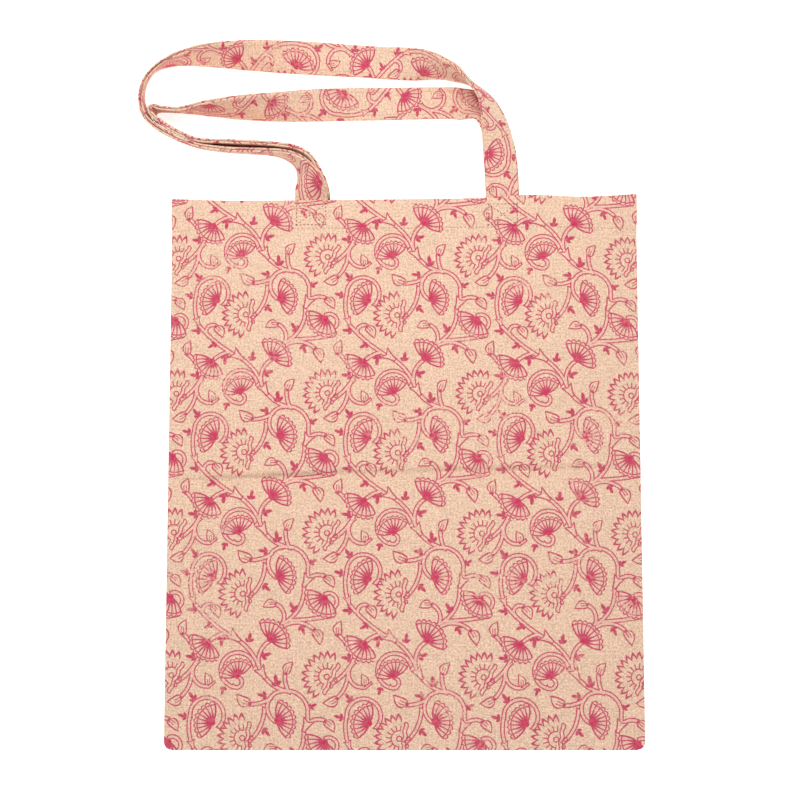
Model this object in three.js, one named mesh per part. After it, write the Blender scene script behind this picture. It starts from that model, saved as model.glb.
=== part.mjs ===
// A flat, unlined cotton tote bag that lies on its back, with its two cloth handles laid up and to the left.
// Millimetres, +Z up, the mouth towards +Y. The origin is under the middle of the whole object.
import * as THREE from "three";

// Driving sizes of the sewn bag. Heights are measured from the bottom seam to the mouth.
const bag = {
  bottomWidth: 366,
  topWidth: 372,
  leftHeight: 431,
  rightHeight: 435,
  cornerRadius: 6,
};

// One layer of the cloth, and the clearance between layers that lie on each other.
const wall = 1.0;
const layerGap = 0.3;

// The hem is the mouth's edge turned in once, so the wall is two layers there. The back's is turned less deep.
const hem = { frontDepth: 24, backDepth: 20, turn: 4 };

// The air that the cloth holds: how far the front stands off the back, and how far from each seam it is full.
const puff = { height: 8.8, sideRun: 80, bottomRun: 85, fullness: 2.4 };

// The mouth's edge sags in the middle and is held up again by the right-hand handle.
const mouth = { frontSag: 4.8, backSag: 2.6, backSetDown: 1.4 };
const mouthRise = { x: 100, width: 30, height: 2.6 };

// Fold marks of the front, from one end to the other. Depth is how far the cloth drops along the line.
const creases = [
  { name: "across", x0: -186, y0: 206, x1: -60, y1: 212, halfWidth: 11, depth: 2.2 },
  { name: "across, right", x0: -60, y0: 212, x1: 186, y1: 220, halfWidth: 13, depth: 1.6 },
  { name: "down the left", x0: -165, y0: 200, x1: -159, y1: 30, halfWidth: 9, depth: 1.2 },
  { name: "low right", x0: 60, y0: 120, x1: 170, y1: 90, halfWidth: 16, depth: 0.7 },
];

// How finely the front is divided, across and up the bag. The flat back needs few columns.
const frontDivisions = { across: 30, up: 34 };
const backDivisions = { across: 8, up: 2 };
const cornerRows = [0, 0.12, 0.4, 1];

// A handle: two strips of cloth with turned edges, sewn together a little way in, so each edge is a slit.
const strap = { width: 26, thickness: 3.6, slitWidth: 1.2, slitDepth: 4 };
const strapStep = 5;

// What a handle's sewn end lies on: the back hem, or the back hem and the other handle's end.
const backHemTop = 2 * wall;
const backStrapLift = backHemTop + layerGap;
const frontStrapLift = backStrapLift + strap.thickness + layerGap;
const hemInside = frontStrapLift + strap.thickness + layerGap;
const strapEnd = 404;

// The front handle from its left end to its right one. The bag's bottom middle is x 0, y 0. Roll turns the
// strap about its length: 0 lies face up, 90 stands on its edge, 180 lies face down. Lift is the height over
// where it would rest.
const frontStrapRun = [
  { x: -74, y: strapEnd, roll: 0, lift: frontStrapLift },
  { x: -74, y: 428.6, roll: 0, lift: frontStrapLift },
  { x: -74, y: 433, roll: 21, lift: 7 },
  { x: -74.2, y: 437.5, roll: 46, lift: 7.5 },
  { x: -75.2, y: 443, roll: 63, lift: 5.6 },
  { x: -76.8, y: 449.6, roll: 75, lift: 2.6 },
  { x: -80.4, y: 456.6, roll: 85, lift: 0.4 },
  { x: -88.5, y: 462.2, roll: 94, lift: 0 },
  { x: -99, y: 465.2, roll: 100, lift: 0 },
  { x: -112, y: 466.6, roll: 103, lift: 0 },
  { x: -140, y: 468, roll: 105, lift: 0 },
  { x: -166, y: 472, roll: 104, lift: 0 },
  { x: -186, y: 480, roll: 102, lift: 0 },
  { x: -203.4, y: 491.6, roll: 97, lift: 0 },
  { x: -209.8, y: 506, roll: 88, lift: 0 },
  { x: -209.5, y: 521.3, roll: 77, lift: 0 },
  { x: -201.8, y: 534.8, roll: 71, lift: 0 },
  { x: -186.3, y: 542.4, roll: 82, lift: 0 },
  { x: -164, y: 546.4, roll: 102, lift: 0 },
  { x: -135, y: 547.6, roll: 124, lift: 0 },
  { x: -100, y: 547.5, roll: 146, lift: 0 },
  { x: -60, y: 546.9, roll: 169, lift: 0 },
  { x: -18, y: 544.6, roll: 175, lift: 0 },
  { x: 8, y: 541, roll: 146, lift: 0 },
  { x: 28, y: 536.6, roll: 110, lift: 0 },
  { x: 41, y: 531.8, roll: 95, lift: 0 },
  { x: 50.5, y: 525.5, roll: 77, lift: 1.4 },
  { x: 58, y: 518, roll: 68, lift: 4.2 },
  { x: 65, y: 509.5, roll: 58, lift: 4.8 },
  { x: 70.8, y: 496, roll: 42, lift: 5.2 },
  { x: 75.4, y: 470, roll: 14, lift: 5.8 },
  { x: 78, y: 431, roll: 0, lift: frontStrapLift },
  { x: 78, y: strapEnd, roll: 0, lift: frontStrapLift },
];

// The back handle, which runs inside the front one, turns back on its edge and crosses under it on the right.
const backStrapRun = [
  { x: -72.4, y: strapEnd, roll: 0, lift: backStrapLift },
  { x: -72.4, y: 430.4, roll: 0, lift: backStrapLift },
  { x: -71.8, y: 434.4, roll: 14, lift: 2 },
  { x: -70.9, y: 438.6, roll: 38, lift: 0.8 },
  { x: -70.8, y: 443.6, roll: 58, lift: 0 },
  { x: -71.9, y: 450.2, roll: 73, lift: 0 },
  { x: -75.9, y: 459, roll: 83, lift: 0 },
  { x: -85.6, y: 466.9, roll: 93, lift: 0 },
  { x: -97.8, y: 470.4, roll: 99, lift: 0 },
  { x: -112, y: 472.2, roll: 101, lift: 0 },
  { x: -140, y: 473.8, roll: 102, lift: 0 },
  { x: -163.4, y: 475.8, roll: 105, lift: 0 },
  { x: -183.2, y: 483.8, roll: 103, lift: 0 },
  { x: -195.8, y: 491.8, roll: 99, lift: 0 },
  { x: -200.6, y: 495.8, roll: 94, lift: 0 },
  { x: -202, y: 499.6, roll: 88, lift: 0 },
  { x: -199.2, y: 502.2, roll: 80, lift: 0 },
  { x: -193, y: 501.9, roll: 75, lift: 0 },
  { x: -180, y: 501, roll: 74, lift: 0 },
  { x: -160, y: 502.3, roll: 91, lift: 0 },
  { x: -132, y: 503.2, roll: 112, lift: 0 },
  { x: -100, y: 504.4, roll: 129, lift: 0 },
  { x: -60, y: 507.4, roll: 153, lift: 0 },
  { x: -10, y: 510, roll: 176, lift: 0 },
  { x: 28, y: 510.6, roll: 176, lift: 0 },
  { x: 44, y: 510.4, roll: 178, lift: 0 },
  { x: 55, y: 508.4, roll: 190, lift: 0 },
  { x: 64, y: 502.5, roll: 208, lift: 0 },
  { x: 70, y: 493.5, roll: 214, lift: 0 },
  { x: 74.2, y: 482.5, roll: 206, lift: 0 },
  { x: 77, y: 470, roll: 192, lift: 0 },
  { x: 78.6, y: 452, roll: 183, lift: 0.6 },
  { x: 79, y: 431, roll: 180, lift: backStrapLift },
  { x: 79, y: strapEnd, roll: 180, lift: backStrapLift },
];

// Undyed cotton under a rose-red line print, as the mean of the two.
const printedCotton = { color: 0xe8b1a3, roughness: 0.92, metalness: 0 };

const smooth = (from, to, value) => THREE.MathUtils.smoothstep(value, from, to);
const mix = THREE.MathUtils.lerp;

// Side edges lean out a little towards the mouth, and the bottom corners are rounded.
function halfWidthAt(y) {
  const half = mix(bag.bottomWidth, bag.topWidth, y / bag.leftHeight) / 2;
  const below = Math.max(bag.cornerRadius - y, 0);
  const rounding = bag.cornerRadius - Math.sqrt(bag.cornerRadius ** 2 - below ** 2);
  return half - rounding;
}

// How full the bag is between its two side seams, 0 at a seam and 1 in the middle.
function fullnessAcross(x) {
  const inFromSeam = THREE.MathUtils.clamp((bag.topWidth / 2 - Math.abs(x)) / puff.sideRun, 0, 1);
  return 1 - (1 - inFromSeam) ** puff.fullness;
}

function fullnessUp(y) {
  const upFromSeam = THREE.MathUtils.clamp(y / puff.bottomRun, 0, 1);
  return 1 - (1 - upFromSeam) ** puff.fullness;
}

function straightMouth(x) {
  return mix(bag.leftHeight, bag.rightHeight, x / bag.topWidth + 0.5);
}

function frontMouth(x) {
  const rise = mouthRise.height * Math.exp(-(((x - mouthRise.x) / mouthRise.width) ** 2));
  return straightMouth(x) - mouth.frontSag * fullnessAcross(x) + rise * fullnessAcross(x);
}

function backMouth(x) {
  return straightMouth(x) - mouth.backSetDown - mouth.backSag * fullnessAcross(x);
}

// 0 below the hem, 1 in it, with a short ramp where the turned edge ends. Up is a share of the way to the mouth.
function hemShare(up, depth) {
  const belowMouth = (1 - up) * bag.leftHeight;
  return 1 - smooth(depth - hem.turn, depth, belowMouth);
}

// The drop of the cloth at a point, from every fold mark near it.
function creaseDrop(x, y) {
  let drop = 0;
  for (const crease of creases) {
    const line = new THREE.Line3(
      new THREE.Vector3(crease.x0, crease.y0, 0),
      new THREE.Vector3(crease.x1, crease.y1, 0),
    );
    const point = new THREE.Vector3(x, y, 0);
    const nearest = line.closestPointToPoint(point, true, new THREE.Vector3());
    const away = nearest.distanceTo(point) / crease.halfWidth;
    drop = Math.max(drop, crease.depth * Math.exp(-(away ** 2)));
  }
  return drop;
}

// Inner and outer height of the front's cloth over the surface that the bag lies on.
function frontHeights({ x, y, up, halfWidth }) {
  const hemmed = hemShare(up, hem.frontDepth);
  const backTop = wall * (1 + hemmed);
  const bodyAir = puff.height;
  const hemAir = hemInside - backHemTop - layerGap;
  const across = fullnessAcross((x / halfWidth) * (bag.topWidth / 2));
  const full = across * fullnessUp(y);
  const air = mix(bodyAir, hemAir, hemmed) * full - creaseDrop(x, y) * full;
  const inner = backTop + layerGap + air;
  return { inner, outer: inner + wall * (1 + hemmed) };
}

// The back lies flat: only its hem is two layers thick.
function backHeights({ up }) {
  const hemmed = hemShare(up, hem.backDepth);
  return { inner: 0, outer: wall * (1 + hemmed) };
}

// Heights up the bag, as shares of the way to the mouth: the rounded corner, even rows, then the hem's ramp.
function rowShares(count, hemDepth) {
  const reach = bag.leftHeight;
  const rows = cornerRows.map((share) => (share * bag.cornerRadius) / reach);
  const first = rows[rows.length - 1];
  const hemStart = 1 - hemDepth / reach;
  const hemFull = 1 - (hemDepth - hem.turn) / reach;
  for (let i = 1; i <= count; i += 1) rows.push(mix(first, hemStart, i / count));
  rows.push(hemFull, (hemFull + 1) / 2, 1);
  return rows;
}

// A closed sheet of cloth over a grid: an upper skin, a lower skin and a rim round the edge.
function panelGeometry({ divisions, hemDepth, mouthAt, heightsAt }) {
  const rows = rowShares(divisions.up, hemDepth);
  const columns = divisions.across + 1;
  const positions = [];
  for (const skin of ["outer", "inner"]) {
    for (const up of rows) {
      const halfWidth = halfWidthAt(up * bag.leftHeight);
      for (let i = 0; i < columns; i += 1) {
        const x = halfWidth * ((2 * i) / divisions.across - 1);
        const y = up * mouthAt(x);
        positions.push(x, y, heightsAt({ x, y, up, halfWidth })[skin]);
      }
    }
  }
  const lower = rows.length * columns;
  const index = [];
  const quad = (a, b, c, d) => index.push(a, b, c, a, c, d);
  for (let j = 0; j < rows.length - 1; j += 1) {
    for (let i = 0; i < divisions.across; i += 1) {
      const a = j * columns + i;
      const above = a + columns;
      quad(a, a + 1, above + 1, above);
      quad(lower + a, lower + above, lower + above + 1, lower + a + 1);
    }
    const left = j * columns;
    const right = left + divisions.across;
    quad(left, left + columns, lower + left + columns, lower + left);
    quad(right, lower + right, lower + right + columns, right + columns);
  }
  const top = (rows.length - 1) * columns;
  for (let i = 0; i < divisions.across; i += 1) {
    quad(i, lower + i, lower + i + 1, i + 1);
    quad(top + i, top + i + 1, lower + top + i + 1, lower + top + i);
  }
  return indexedGeometry(positions, index);
}

function indexedGeometry(positions, index) {
  const geometry = new THREE.BufferGeometry();
  geometry.setAttribute("position", new THREE.Float32BufferAttribute(positions, 3));
  geometry.setIndex(index);
  geometry.computeVertexNormals();
  return geometry;
}

// A handle's section, with its width along X: a flat band whose two edges are slit.
function strapSection() {
  const half = strap.width / 2;
  const thick = strap.thickness / 2;
  const slit = strap.slitWidth / 2;
  const root = half - strap.slitDepth;
  const corners = [[-half, -thick], [half, -thick], [half, -slit], [root, 0], [half, slit]];
  corners.push([half, thick], [-half, thick], [-half, slit], [-root, 0], [-half, -slit]);
  return corners.map(([across, up]) => new THREE.Vector2(across, up));
}

// The section carried along a run of stations, turned by each station's roll.
function strapGeometry(run) {
  const plan = new THREE.CatmullRomCurve3(run.map((s) => new THREE.Vector3(s.x, s.y, 0)));
  const twist = new THREE.CatmullRomCurve3(
    run.map((s) => new THREE.Vector3(s.roll, s.lift, 0)), false, "catmullrom", 0.5,
  );
  const spans = run.length - 1;
  const sections = [{ share: 0, from: run[0], to: run[0] }];
  for (let k = 0; k < spans; k += 1) {
    const [from, to] = [run[k], run[k + 1]];
    const steps = Math.max(4, Math.ceil(Math.hypot(to.x - from.x, to.y - from.y) / strapStep));
    for (let i = 1; i <= steps; i += 1) sections.push({ share: (k + i / steps) / spans, from, to });
  }
  const between = (value, a, b) => THREE.MathUtils.clamp(value, Math.min(a, b), Math.max(a, b));
  const outline = strapSection();
  const up = new THREE.Vector3(0, 0, 1);
  const positions = [];
  for (const { share, from, to } of sections) {
    const along = plan.getTangent(share).setZ(0).normalize();
    const right = new THREE.Vector3().crossVectors(along, up);
    const free = twist.getPoint(share);
    const turn = THREE.MathUtils.degToRad(between(free.x, from.roll, to.roll));
    const lift = between(free.y, from.lift, to.lift);
    const across = right.multiplyScalar(Math.cos(turn)).addScaledVector(up, Math.sin(turn));
    const face = new THREE.Vector3().crossVectors(across, along);
    const rest = (strap.thickness * Math.abs(Math.cos(turn)) + strap.width * Math.abs(Math.sin(turn))) / 2;
    const centre = plan.getPoint(share).setZ(rest + lift);
    for (const corner of outline) {
      const point = centre.clone().addScaledVector(across, corner.x).addScaledVector(face, corner.y);
      positions.push(point.x, point.y, point.z);
    }
  }
  const sides = outline.length;
  const index = [];
  for (let j = 0; j < sections.length - 1; j += 1) {
    for (let i = 0; i < sides; i += 1) {
      const a = j * sides + i;
      const b = j * sides + ((i + 1) % sides);
      index.push(a, a + sides, b, b, a + sides, b + sides);
    }
  }
  const last = (sections.length - 1) * sides;
  for (const [a, b, c] of THREE.ShapeUtils.triangulateShape(outline, [])) {
    index.push(a, b, c, last + a, last + c, last + b);
  }
  return indexedGeometry(positions, index);
}

function addPiece(group, name, geometry) {
  const mesh = new THREE.Mesh(geometry, new THREE.MeshStandardMaterial(printedCotton));
  mesh.name = name;
  group.add(mesh);
}

const frontSheet = {
  divisions: frontDivisions,
  hemDepth: hem.frontDepth,
  mouthAt: frontMouth,
  heightsAt: frontHeights,
};
const backSheet = {
  divisions: backDivisions,
  hemDepth: hem.backDepth,
  mouthAt: backMouth,
  heightsAt: backHeights,
};

const tote = new THREE.Group();
addPiece(tote, "back_panel", panelGeometry(backSheet));
addPiece(tote, "front_panel", panelGeometry(frontSheet));
addPiece(tote, "front_strap", strapGeometry(frontStrapRun));
addPiece(tote, "back_strap", strapGeometry(backStrapRun));

// The origin goes under the middle of everything, on the surface that the bag lies on.
const box = new THREE.Box3().setFromObject(tote);
const middle = box.getCenter(new THREE.Vector3());
tote.position.set(-middle.x, -middle.y, -box.min.z);

const part = new THREE.Group();
part.add(tote);
export default part;
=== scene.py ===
"""Looks of a flat cotton tote bag with a block-printed flower vine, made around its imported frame."""

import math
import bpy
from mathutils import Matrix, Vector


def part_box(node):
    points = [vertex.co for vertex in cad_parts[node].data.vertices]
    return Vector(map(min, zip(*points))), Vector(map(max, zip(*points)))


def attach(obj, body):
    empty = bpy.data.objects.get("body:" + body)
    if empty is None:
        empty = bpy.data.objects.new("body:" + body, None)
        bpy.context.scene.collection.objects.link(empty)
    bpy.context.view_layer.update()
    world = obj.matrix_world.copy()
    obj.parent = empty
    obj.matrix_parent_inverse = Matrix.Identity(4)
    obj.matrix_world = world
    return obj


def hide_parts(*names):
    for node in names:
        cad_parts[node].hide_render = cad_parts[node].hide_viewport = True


bl_info = {
    "name": "Block-printed Cotton Tote",
    "version": (1, 0, 0),
    "blender": (4, 5, 0),
    "location": "View3D > Sidebar > Tote",
    "description": "Makes the cloth, handles, stitches and print of a cotton tote bag that lies flat",
    "category": "Object",
}

from functools import partial

import bpy
import numpy as np
from mathutils import Vector, noise

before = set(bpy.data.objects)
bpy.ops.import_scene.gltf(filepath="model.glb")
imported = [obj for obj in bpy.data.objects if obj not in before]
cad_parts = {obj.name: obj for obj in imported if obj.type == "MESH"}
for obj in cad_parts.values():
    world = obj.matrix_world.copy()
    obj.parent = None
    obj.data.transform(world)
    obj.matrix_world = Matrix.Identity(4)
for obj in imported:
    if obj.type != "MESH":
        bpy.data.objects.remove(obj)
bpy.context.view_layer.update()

MM = 0.001
CLOTH_MAP = "Cloth"
BAKE_MAP = "OFBake"
VECTOR = "ShaderNodeVectorMath"
NOISE = "ShaderNodeTexNoise"
MIX = "ShaderNodeMix"
RANGE = "ShaderNodeMapRange"
MAPPING = "ShaderNodeMapping"
SPLIT = "ShaderNodeSeparateXYZ"
JOIN = "ShaderNodeCombineXYZ"

# The bag's own place: x 0 on its centre line, y 0 at its bottom seam.
BACK_LOW, BACK_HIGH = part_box("back_panel")
BAG_X = (BACK_LOW[0] + BACK_HIGH[0]) / 2
BAG_Y = BACK_LOW[1]

# How roundly the front rises from its seams.
CROWN = 2.4

# Creases where the bag was folded: x and y of both ends, width of the steep side to the left of the way,
# width of the gentle side, depth (mm).
CREASES = (
    (-186, 203, -60, 208.5, 2.8, 18.0, 4.5),
    (-60, 208.5, 186, 214, 3.2, 16.0, 4.0),
    (-158, 40, -165, 203, 3.5, 8.0, 2.8),
    (60, 120, 170, 90, 16.0, 16.0, 0.7),
)

# The handles' routes: x, y, roll in degrees, lift over the rest height (mm).
FRONT_RUN = (
    (-74, 404, 0, 6.2), (-74, 428.6, 0, 6.2), (-74.6, 433.6, 15, 6.8), (-75.8, 439, 32, 6.6),
    (-77.4, 445, 49, 4.6), (-80.2, 451.6, 66, 2), (-84.8, 458, 81, 0.4), (-91.8, 462.6, 92, 0),
    (-100.4, 465.2, 99, 0), (-112, 466.6, 103, 0), (-140, 468, 105, 0), (-166, 472, 104, 0),
    (-186, 480, 102, 0), (-203.4, 491.6, 97, 0), (-209.8, 506, 88, 0), (-209.5, 521.3, 77, 0),
    (-201.8, 534.8, 71, 0), (-186.3, 542.4, 82, 0), (-164, 546.4, 102, 0), (-135, 547.6, 124, 0),
    (-100, 547.5, 146, 0), (-60, 546.9, 169, 0), (-18, 544.6, 175, 0), (8, 541, 146, 0),
    (28, 536.6, 110, 0), (41, 531.8, 95, 0), (50.5, 525.5, 77, 1.4), (58, 518, 68, 4.2),
    (65, 509.5, 58, 4.8), (70.8, 496, 42, 5.2), (75.4, 470, 14, 5.8), (78, 431, 0, 6.2),
    (78, 404, 0, 6.2),
)
BACK_RUN = (
    (-72.4, 404, 0, 2.3), (-72.4, 430.4, 0, 2.3), (-71.8, 434.4, 14, 2), (-70.9, 438.6, 38, 0.8),
    (-70.8, 443.6, 58, 0), (-71.9, 450.2, 73, 0), (-75.9, 459, 83, 0), (-85.6, 466.9, 93, 0),
    (-97.8, 470.4, 99, 0), (-112, 472.2, 101, 0), (-140, 473.8, 102, 0), (-163.4, 475.8, 105, 0),
    (-183.2, 483.8, 103, 0), (-195.8, 491.8, 99, 0), (-200.6, 495.8, 94, 0), (-202, 499.6, 88, 0),
    (-199.2, 502.2, 80, 0), (-193, 501.9, 75, 0), (-180, 501, 74, 0), (-160, 502.3, 91, 0),
    (-132, 503.2, 112, 0), (-100, 504.4, 129, 0), (-60, 507.4, 153, 0), (-10, 510, 176, 0),
    (28, 510.6, 176, 0), (44, 510.4, 178, 0), (55, 508.4, 190, 0), (64, 502.5, 208, 0),
    (70, 493.5, 214, 0), (74.2, 482.5, 206, 0), (77, 470, 192, 0), (78.6, 452, 183, 0.6),
    (79, 431, 180, 2.3), (79, 404, 180, 2.3),
)

# How the handles' strips were cut from the printed cloth: where the middle of each layer and the left end
# lay under the block (mm), which way the strip runs, and how much sewing gathered it.
FRONT_STRIP = {"upper": -29.5, "lower": -26.0, "start": 38.8, "way": 1, "stretch": 1.04}
BACK_STRIP = {"upper": -28.5, "lower": -28.5, "start": -5.8, "way": -1, "stretch": 1.015}

# The printing block: one repeat, in mm right and up from the hub of its middle fan.
REPEAT = (119.1, 108.5)
# Half the width of the block's thin lines.
LINE = 0.42
# Fans: hub, facing in degrees, reach.
FANS = (
    (0.2, 0.2, 111, 13.6), (-22.5, 25.0, 233, 15.2), (24.6, 27.4, 47, 15.6),
    (30.2, -33.4, 12, 15.3), (66.4, -49.6, 231, 15.5), (-18.9, -35.2, 157, 15.2),
)
# Open lotuses: centre, facing, reach.
LOTUSES = ((3.6, -46.8, 174, 18.3), (-51.2, -0.3, 154, 18.3))
# Buds: base, tip, side of the belly.
BUDS = (
    (-20.2, 52.4, -14.5, 43.6, -1), (-42.6, 31.0, -40.5, 41.2, -1), (36.8, 1.9, 41.9, 10.3, -1),
    (9.6, -20.7, -0.2, -14.2, -1), (66.4, -33.8, 73.2, -41.6, -1), (28.8, -54.2, 19.5, -56.6, 1),
    (58.3, -74.0, 62.8, -84.6, -1), (-22.3, -7.1, -24.6, 1.6, 1), (-43.2, -16.7, -53.7, -20.1, -1),
)
# Calyxes, where a stem leaves the one before it: base, tip.
CALYXES = (
    (-5.9, 31.3, 1.9, 26.1), (-35.7, 59.4, -33.6, 53.6),
    (16.8, 5.7, 21.3, -1.9), (54.1, -33.4, 50.1, -41.6),
)
# Solid sprigs of three leaves: base, tip.
SPRIGS = (
    (8.2, 24.4, 9.7, 32.3), (17.3, 14.7, 25.4, 17.1), (29.7, -8.4, 28.6, 0.9),
    (22.9, -15.2, 15.4, -14.0), (-9.6, -7.6, -11.7, -14.0), (-32.5, -19.6, -37.2, -13.0),
    (-38.3, -32.0, -45.5, -29.7), (-31.5, 48.7, -39.3, 49.4), (-19.0, 39.1, -25.6, 35.5),
    (-11.5, 31.0, -12.4, 22.0), (-32.0, 13.0, -40.0, 14.2), (44.3, -60.8, 39.5, -53.6),
    (48.2, -69.8, 51.0, -77.0), (54.1, -23.6, 60.1, -20.6), (19.0, -39.0, 24.4, -44.5),
)
# Stems, each an arc: start, end, how far it bows to the left of its way.
STEMS = (
    (12.7, 8.8, -1.0, -8.7, -20.0), (-1.0, -8.7, 3.0, -2.6, -2.2),
    (2.0, 25.7, 16.9, 5.8, 1.9), (16.9, 6.0, 22.8, 25.0, 3.2),
    (-33.6, 53.6, -5.9, 30.1, -1.5), (-20.2, 27.0, -10.0, 31.9, 0.6),
    (-13.6, -38.2, -36.1, -29.6, -17.5), (-36.1, -29.6, -35.4, -50.1, -1.4),
    (-27.4, 46.9, -20.2, 53.0, 3.3), (-42.6, 31.0, -37.2, 25.5, 0.4),
    (21.3, -1.4, 36.8, -11.0, -1.5), (38.6, -10.8, 36.3, 1.8, 0.9),
    (37.5, -11.0, 53.5, -25.5, 4.2), (53.5, -25.5, 53.8, -35.0, -0.3),
    (37.0, -11.2, 28.5, -34.0, -9.8), (25.5, -16.5, 9.8, -21.2, 1.3),
    (20.5, -25.0, 9.5, -48.6, 2.6), (54.1, -34.9, 66.1, -33.2, 1.7),
    (50.4, -42.5, 35.3, -68.7, 4.3), (34.3, -69.0, 29.4, -54.6, -3.2),
    (40.0, -66.8, 71.5, -63.2, -0.6), (35.2, -71.0, 57.9, -73.5, 3.9),
    (68.2, -46.2, 72.8, -57.5, 5.0), (-46.5, -5.0, -30.0, 13.8, -1.9),
    (-33.6, 6.5, -22.0, -8.0, -5.8), (-35.0, 3.0, -43.4, -16.2, 2.2),
)


def linear(code):
    """A colour code such as #F2CFB5 as linear red, green and blue."""
    shares = [int(code[i:i + 2], 16) / 255 for i in (1, 3, 5)]
    return tuple(s / 12.92 if s <= 0.04045 else ((s + 0.055) / 1.055) ** 2.4 for s in shares)


def length(name, description, millimetres):
    """A length setting, given in mm and kept in metres."""
    return bpy.props.FloatProperty(
        name=name, description=description, default=millimetres * MM, unit="LENGTH", precision=5
    )


def number(name, description, default):
    """A plain number setting."""
    return bpy.props.FloatProperty(name=name, description=description, default=default)


def colour(name, description, code):
    """A colour setting, given as an sRGB code."""
    return bpy.props.FloatVectorProperty(
        name=name, description=description, default=linear(code), subtype="COLOR", min=0, max=1
    )


class ToteBody(bpy.types.PropertyGroup):
    """Sizes of the two cloth panels."""

    bottom_width: length("Bottom width", "Between the side seams at the bottom", 366)
    top_width: length("Top width", "Between the side seams at the mouth", 372)
    left_height: length("Left height", "From the bottom seam to the mouth at the left seam", 431)
    right_height: length("Right height", "From the bottom seam to the mouth at the right seam", 435)
    corner_radius: length("Corner radius", "Rounding of the two bottom corners", 6)
    wall: length("Cloth thickness", "One layer of the woven cloth", 1.0)
    layer_gap: length("Layer gap", "Between the two panels at their seams", 0.3)
    front_hem: length("Front hem", "Depth of the turned hem of the front", 24)
    back_hem: length("Back hem", "Depth of the turned hem of the back", 20)
    hem_turn: length("Hem slope", "Over which the hem's second layer begins", 4)
    puff: length("Fullness", "How far the front stands over the back", 8.8)
    hem_puff: length("Hem fullness", "How far the front's hem stands over the back's", 7.8)
    side_run: length("Side slope", "Over which the front rises from a side seam", 80)
    bottom_run: length("Bottom slope", "Over which the front rises from the bottom seam", 85)
    front_sag: length("Front sag", "How far the front's mouth sags between the seams", 4.8)
    back_sag: length("Back sag", "How far the back's mouth sags between the seams", 2.6)
    back_set_down: length("Back set down", "How far the back's mouth lies below the front's", 1.4)
    rise_x: length("Mouth rise place", "Where the right handle lifts the front's mouth", 100)
    rise_width: length("Mouth rise width", "Half width of that rise", 30)
    rise_height: length("Mouth rise height", "Height of that rise", 2.6)
    wave: length("Waves", "Height of the cloth's soft waves", 0.5)


class ToteHandle(bpy.types.PropertyGroup):
    """Sizes of the sewn handles and of all stitches."""

    width: length("Width", "Across a handle", 26)
    thickness: length("Thickness", "Both layers of a handle", 3.6)
    slit_width: length("Slit width", "Between the two layers where a bend opens them", 1.2)
    slit_closed: length("Closed slit", "Between the two layers elsewhere", 0.15)
    slit_depth: length("Slit depth", "From a handle's edge to where the layers meet", 4)
    stitch_step: length("Stitch step", "From one stitch to the next", 3.0)
    stitch_length: length("Stitch length", "Thread seen between two holes", 2.1)
    thread: length("Thread", "Thickness of the sewing thread", 0.55)


class ToteLook(bpy.types.PropertyGroup):
    """Colours of the cloth, the ink and the thread."""

    cloth: colour("Cloth", "Undyed slubby cotton", "#F8D4BA")
    fleck: colour("Fleck", "Seed flecks and darker slubs in the yarn", "#C4A287")
    wash: colour("Ink wash", "Cloth between close lines, tinted by thinned ink", "#FAC4B8")
    line_ink: colour("Line ink", "Rose ink that thin lines leave on the cloth", "#BF4360")
    solid_ink: colour("Solid ink", "The same ink where the block prints solid", "#CF2E56")
    # Painted shade: the hem thread is darker than the cloth partly as painted shade of its needle holes.
    hem_thread_and_hole_shade: colour("Hem thread", "Undyed thread of the hems and the handles' edges", "#CFA98B")
    # Painted shade: the box thread's dark brown is partly its own colour and partly painted shade of the
    # needle holes it sinks into.
    box_thread_and_hole_shade: colour("Box thread", "Brown thread of the crossed boxes", "#8A584A")


class ToteStage(bpy.types.PropertyGroup):
    """The camera, the light and the floor."""

    camera_distance: length("Camera distance", "From the lens to the point it looks at", 1000)
    camera_tilt: bpy.props.FloatProperty(
        name="Camera tilt", description="From straight down", default=math.radians(7.331), subtype="ANGLE"
    )
    lens: bpy.props.FloatProperty(name="Lens", description="Focal length in mm", default=57.1)
    aim_x: length("Aim x", "From the bag's centre line to the point looked at", -3.5)
    aim_y: length("Aim y", "From the bag's bottom seam to the point looked at", 268.5)
    sky: number("Sky light", "Strength of the light from all around", 0.605)
    window: number("Window light", "Power of the soft light over the mouth", 5.5)
    fill: number("Fill light", "Power of the soft light from beyond the bottom seam", 4.0)
    glow: number("Floor glow", "Strength of the light from below the floor", 0.65)


def add_node(tree, kind, *values, **settings):
    """Adds a node with its settings, links or fills its open inputs in order, gives its output.

    A kind in capitals is the operation of a math node.
    """
    if kind.isupper():
        settings["operation"] = kind
        kind = "ShaderNodeMath"
    node = tree.nodes.new(kind)
    for name, value in settings.items():
        setattr(node, name, value)
    for socket, value in zip([s for s in node.inputs if s.enabled], values):
        if isinstance(value, bpy.types.NodeSocket):
            tree.links.new(value, socket)
        elif value is not None:
            socket.default_value = value
    return next(s for s in node.outputs if s.enabled)


def fill(node, values):
    """Sets some of a node's inputs by their names."""
    for name, value in values.items():
        node.inputs[name].default_value = value


def in_repeat(put, place, x, y):
    """A point's place from a spot of the block, in the repeat where it lies nearest to that spot."""
    half = (REPEAT[0] / 2, REPEAT[1] / 2, 1)
    less = (-half[0], -half[1], -1)
    shifted = put(VECTOR, place, (x, y, 0), operation="SUBTRACT")
    return put(VECTOR, shifted, half, less, operation="WRAP")


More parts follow.
